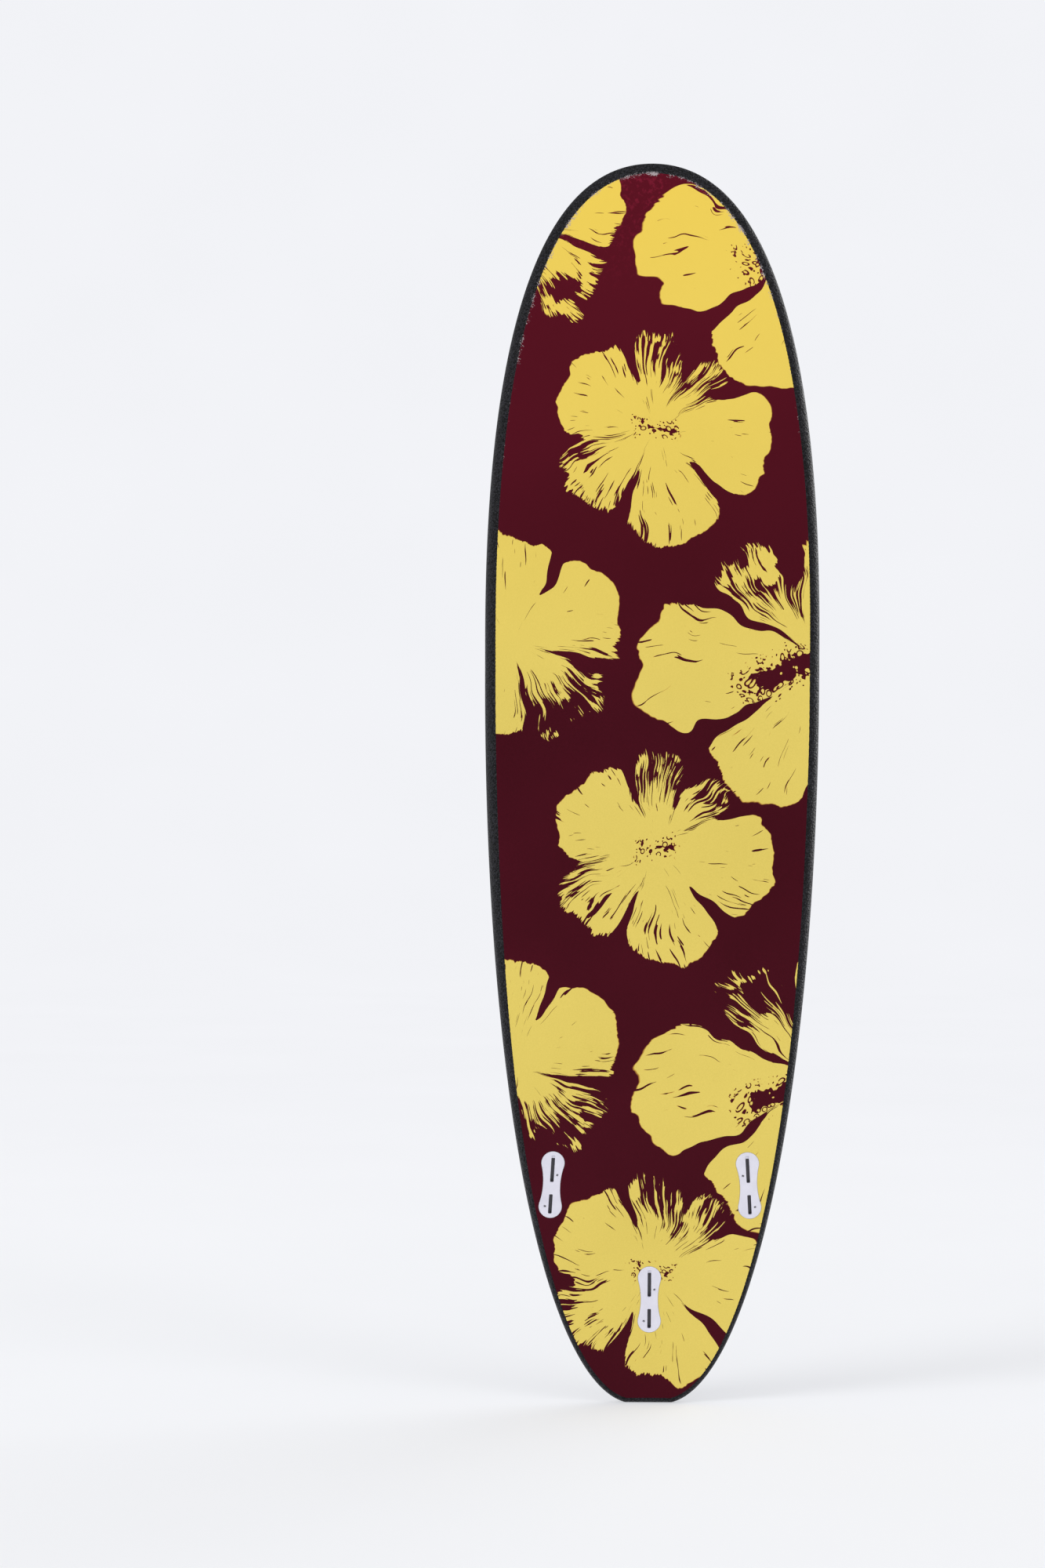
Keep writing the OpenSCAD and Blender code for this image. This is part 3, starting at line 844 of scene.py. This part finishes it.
def petal_outline(petals):
    """The flower's edge and its streakiness round the full turn, as curves from 0 to 1."""
    edge, streaks = [], []
    for i, (at, half, length, streak, start) in enumerate(petals):
        last_at, last_half, last_length, last_streak, _ = petals[i - 1]
        before = last_at + last_half - (360 if last_at > at else 0)
        valley = (before + at - half) / 2
        rim = min(length, last_length)
        edge += [
            (valley - 5, 0.88 * rim), (valley, start * rim), (valley + 5, 0.88 * rim),
            (at - 0.5 * half, 0.96 * length), (at + 0.1 * half, length),
            (at + 0.6 * half, 0.95 * length),
        ]
        streaks += [
            (valley, 0.5 * (streak + last_streak)), (at - 0.5 * half, streak),
            (at + 0.5 * half, 0.8 * streak),
        ]
    return [around(points) for points in (edge, streaks)]


def around(points):
    """Points at angles in degrees, sorted into one turn from 0 to 1 that meets itself."""
    turned = sorted(((a % 360) / 360, y) for a, y in points)
    (x0, y0), (x1, y1) = turned[0], turned[-1]
    seam = y1 + (y0 - y1) * (1 - x1) / (1 - x1 + x0)
    return [(0.0, seam), *turned, (1.0, seam)]


def flower(made, centre_x, centre_z, size, petals):
    """How much of the flower's paint lies at each place, from 0 to 1."""
    wander = made.noise(0.075, 1, 0.4) - 0.5
    cross = made.noise(0.060, 1, 0.4, made.vector(made.z, made.x, 3.1)) - 0.5
    repeats = (made.z - centre_z) / PRINT_REPEAT + 0.5
    row = repeats.math("FLOOR")
    x = (made.x - centre_x) / size + wander * 0.16
    z = (repeats.math("FRACT") - 0.5) * (PRINT_REPEAT / size) + cross * 0.16
    r = (x * x + z * z).math("SQRT")
    angle = z.math("ARCTAN2", x)
    turn = (angle / (2 * math.pi)).math("FRACT")
    edge, streakiness = petal_outline(petals)
    streaky = turn.curve(streakiness)
    rho = r / turn.curve(edge)
    # Strokes are long along the petal and thin across it, and bend with the petal
    swept = angle + made.noise(0.12, 0, 0.5, made.vector(made.x, made.z, size * 40)) * 0.3
    c, s = swept.math("COSINE"), swept.math("SINE")
    strokes = made.noise(1, 1, 0.5, made.vector(c * 19, s * 19, r * 2.4 + row * 7 + size * 90))
    hairs = made.noise(1, 1, 0.5, made.vector(c * 48, s * 48, r * 5.0 + row * 9 + size * 50))
    scallops = made.noise(1, 3, 0.55, made.vector(c * 4.2, s * 4.2, row * 5 + size * 310))
    bristles = strokes * 0.44 + hairs * 0.56
    patches = made.noise(0.05, 2, 0.5, made.vector(made.z, made.x, size * 17))
    torn = streaky.between(0.30, 1.0) * 0.72
    within = rho * -1 + 1 + (scallops - 0.5) * 0.17 + (bristles - 0.55) * torn
    inside = within.between(-INK_EDGE, INK_EDGE)
    reach = rho.between(0.15, 0.72) * streaky * patches.between(0.28, 0.50)
    marks = (bristles - 0.712 + reach * 0.29).between(-INK_EDGE, INK_EDGE)
    return inside * (marks * -1 + 1), x, z


def stamens(made, x, z, direction, start, end, width, cell, core):
    """Dark rings and dots along a line out from a flower's middle, dense within the core."""
    c, s = math.cos(math.radians(direction)), math.sin(math.radians(direction))
    wobble = (made.noise(0.010, 1, at=made.vector(made.z, made.x, core)) - 0.5) * (4 * cell)
    u, v = x * c + z * s + wobble, z * c - x * s
    off = v.math("ABSOLUTE") / width + (made.noise(0.010, 1) - 0.5) * 0.9
    at = made.vector(x, z, core)
    spot = made.cells(cell, at=at)
    ring = spot.between(0.44, 0.40) * spot.between(0.25, 0.29) * off.between(0.92, 0.88)
    solid = start + 2.5 * cell
    mass = off.between(core + 0.03, core) * spot.between(0.24, 0.28)
    mass = mass * u.between(solid, solid + 0.05 * cell)
    dots = made.cells(0.55 * cell, at=at).between(0.27, 0.22) * off.between(1.25, 1.20)
    along = u.between(start, start + 0.5 * cell) * u.between(end, end - cell)
    return ring.math("MAXIMUM", mass).math("MAXIMUM", dots) * along.between(0.4, 0.6)


def printed_slick():
    made = Finish("printed_slick", Specular_IOR_Level=0.06)
    paint, stamp = None, None
    for spec in FLOWERS:
        amount, x, z = flower(made, *spec)
        paint = amount if paint is None else paint.math("MAXIMUM", amount)
        if spec is FLOWERS[0]:
            stamp = stamens(
                made, x, z, direction=0, start=-0.19, end=0.20, width=0.085, cell=0.055, core=0.10
            )
        if spec is FLOWERS[1]:
            other = stamens(
                made, x, z, direction=16, start=-0.46, end=0.10, width=0.10, cell=0.040, core=0.50
            )
            stamp = stamp.math("MAXIMUM", other)
    paint = paint * (stamp * -1 + 1)
    weave = (made.x * WEAVE).math("SINE") * (made.z * WEAVE).math("SINE")
    grain = made.noise(0.0022, 2) + weave * 0.10
    slow = made.noise(0.22, 2)
    # Painted highlight: both inks brighten towards the nose, where it turns up to the light
    nose = made.z.between(1.2, 2.1)
    ground = made.ramp(slow * 0.6 + grain * 0.4, BURGUNDY)
    ground = made.mix(nose, ground, BURGUNDY_NOSE_PAINTED_SHEEN)
    stains = made.noise(0.007, 3, 0.6).between(0.52, 0.70) * made.z.between(1.90, 2.12)
    ground = made.mix(stains, ground, BURGUNDY_STAIN)
    petal = made.ramp(slow * 0.5 + grain * 0.5, YELLOW)
    petal = made.mix(nose, petal, YELLOW_NOSE_PAINTED_SHEEN)
    shade = made.mix(paint.between(0.0, 0.5), ground, FRINGE)
    print_colour = made.mix(paint.between(0.5, 1.0), shade, petal)
    marks = heat_marks(made) * made.stored("seam").between(0.0, 0.3)
    made.colour(made.mix(marks, print_colour, CRUMBS_ON_PRINT))
    made.roughness(grain * 0.10 + 0.34)
    made.bump(grain, 0.00003)
    return made


printed_slick().on(slick)

# ---- Other materials ------------------------------------------------------------------


def plastic_finish(name, dark, light, grain_size, roughness):
    made = Finish(name, roughness=roughness)
    slow, fine = made.noise(0.018, 2), made.noise(grain_size, 2)
    made.paint = made.ramp(slow * 0.6 + fine * 0.4, [(0.3, dark), (0.7, light)])
    made.colour(made.paint)
    made.roughness(fine * 0.14 + (roughness - 0.07))
    made.bump(fine, 0.00004)
    return made


def box_finish(side):
    """White plastic, darker towards the bottom of the slots, where the shade there is painted in.
    """
    made = plastic_finish(
        f"box_plastic_white_{side}", (0.60, 0.59, 0.67), (0.67, 0.66, 0.74),
        grain_size=0.0008, roughness=0.30,
    )
    # Height above the box's face, from its own upright axis
    across, out, up, start = box_place(side).inverted()[2]
    height = made.x * across + made.y * out + made.z * up + start
    # Painted shade: the plastic turns dark grey with depth into the slots
    made.colour(made.mix(height.between(-0.003, -0.012), made.paint, (0.150, 0.144, 0.168)))
    return made


def steel_finish(name):
    made = Finish(name, metallic=1.0)
    lines = made.noise(0.0006, 3, 0.6, made.vector(made.x * 6, made.y, made.z))
    wear = made.noise(0.003, 2)
    tone = lines * 0.5 + wear * 0.5
    made.colour(made.ramp(tone, [(0.3, (0.24, 0.24, 0.25)), (0.7, (0.50, 0.50, 0.51))]))
    made.roughness(lines * 0.2 + 0.22)
    made.bump(lines, 0.00003)
    return made


def wood_finish(name):
    made = Finish(name, roughness=0.7)
    rings = made.noise(0.006, 4, 0.6, made.vector(made.x, made.y, made.z * 0.05))
    made.colour(made.ramp(rings, [(0.35, (0.42, 0.25, 0.12)), (0.65, (0.62, 0.42, 0.22))]))
    made.bump(rings, 0.0001)
    return made


def cord_finish(name):
    made = Finish(name, Specular_IOR_Level=0.35)
    fibre = made.noise(0.0004, 3)
    made.colour(made.ramp(fibre, [(0.3, (0.002, 0.002, 0.002)), (0.7, (0.010, 0.010, 0.011))]))
    made.roughness(fibre * 0.2 + 0.35)
    made.bump(fibre, 0.00008)
    return made


fin_boxes = [nodes[f"fin_box_{side}"] for side in BOXES]
for side, box in zip(BOXES, fin_boxes):
    box_finish(side).on(box)
plastic_finish(
    "cup_plastic_black", (0.008, 0.008, 0.009), (0.020, 0.020, 0.022),
    grain_size=0.0006, roughness=0.45,
).on(nodes["leash_cup"])
plastic_finish(
    "spring_rubber_black", (0.010, 0.010, 0.010), (0.025, 0.025, 0.025),
    grain_size=0.0010, roughness=0.75,
).on(*springs)
steel_finish("screw_steel_brushed").on(
    nodes["leash_pin"],
    *(nodes[f"{part}_{side}"] for part in ("front_grub", "rear_grub", "roller") for side in BOXES),
)
foam_finish(
    "core_foam_white", (0.68, 0.68, 0.64), (0.86, 0.86, 0.82), cell=0.0035, depth=0.0003
).on(*(nodes[name] for name in ("slick_backing", "core_left", "core_centre", "core_right")))
foam_finish(
    "dense_foam_blue", (0.24, 0.38, 0.50), (0.34, 0.48, 0.60), cell=0.0012, depth=0.0001
).on(nodes["leash_block"], *(nodes[f"fin_block_{side}"] for side in BOXES))
wood_finish("stringer_wood_veneer").on(nodes["stringer_left"], nodes["stringer_right"])
cord_finish("string_cord_black").on(string, knot)

# Moulded edges of the boxes and the cup are a little rounded
for part in (*fin_boxes, nodes["leash_cup"]):
    weld = part.modifiers.new("weld", "WELD")
    weld.merge_threshold = 0.00001
    bevel = part.modifiers.new("edges", "BEVEL")
    bevel.width = 0.00035
    bevel.segments = 3
    bevel.limit_method = "ANGLE"
    bevel.angle_limit = math.radians(35)

# ---- Floor and light ------------------------------------------------------------------

FLOOR_R = 6.0
# The floor lies this far under the board, so that the two don't share a plane
FLOOR_DROP = 0.0002
BACKDROP_R = 12.0
COVE_R = 4.0
WALL_H = 7.0
# The floor takes the light this far out, and glows by this share even there
LIT_R = 2.0
GLOW_SHARE = 0.5
SKY = (0.97, 0.98, 1.0)
SKY_STRENGTH = 0.64


def round_sheet(name, profile, sides=96):
    """A sheet turned about the upright axis from (radius, height) points."""
    points = [
        (x, y, height - FLOOR_DROP) for r, height in profile for x, y in circle_points(r, sides)
    ]
    faces = [
        (i * sides + k, i * sides + (k + 1) % sides,
         (i + 1) * sides + (k + 1) % sides, (i + 1) * sides + k)
        for i in range(len(profile) - 1) for k in range(sides)
    ]
    return new_piece(name, points, faces)


def make_floor():
    """A round paper floor, and a backdrop that curves up round every camera position."""
    floor = round_sheet("studio_floor", [(0.0, 0.0), (1.0, 0.0), (3.0, 0.0), (FLOOR_R, 0.0)])
    cove = [
        (BACKDROP_R + COVE_R * math.sin(a), COVE_R * (1 - math.cos(a)))
        for a in np.linspace(0, math.pi / 2, 14)
    ]
    wall_top = (BACKDROP_R + COVE_R, WALL_H)
    backdrop = round_sheet("studio_backdrop", [(FLOOR_R, 0.0), *cove, wall_top])
    # The backdrop is only looked at, so the lights and the sky do all the lighting
    for kind in ("diffuse", "glossy", "transmission", "shadow"):
        setattr(backdrop, f"visible_{kind}", False)
    made = Finish("studio_paper", roughness=0.95, Specular_IOR_Level=0.0, Emission_Strength=1.0)
    # Near the board the paper half glows and takes faint shadows; further off it glows evenly
    distance = (made.x * made.x + made.y * made.y).math("SQRT")
    far = distance.between(LIT_R, FLOOR_R) * (1 - GLOW_SHARE) + GLOW_SHARE
    mottle = made.noise(0.9, 2)
    paper = made.ramp(mottle, [(0.3, (0.860, 0.866, 0.880)), (0.7, (0.870, 0.876, 0.890))])
    glow = made.ramp(mottle, [(0.3, (0.882, 0.890, 0.924)), (0.7, (0.892, 0.900, 0.934))])
    made.colour(made.mix(far, paper, (0.0, 0.0, 0.0)))
    made.glow(made.mix(far, (0.0, 0.0, 0.0), glow))
    made.on(floor, backdrop)


def soft_sun(name, direction, strength, softness):
    """Even light from far off, from this direction, spread over this many degrees."""
    data = bpy.data.lights.new(name, "SUN")
    data.energy = strength
    data.angle = math.radians(softness)
    light = bpy.data.objects.new(name, data)
    light.rotation_euler = Vector(direction).to_track_quat("Z", "Y").to_euler()
    scene.collection.objects.link(light)


make_floor()
soft_sun("key", (-4.6, -3.2, 2.6), 1.45, 24)
soft_sun("fill", (4.2, -3.6, 2.0), 0.8, 30)
soft_sun("back", (3.6, 3.4, 2.0), 1.4, 50)
world = bpy.data.worlds.new("studio")
world.use_nodes = True
sky = world.node_tree.nodes["Background"]
sky.inputs["Color"].default_value = (*SKY, 1)
sky.inputs["Strength"].default_value = SKY_STRENGTH
scene.world = world
scene.view_settings.view_transform = "Standard"
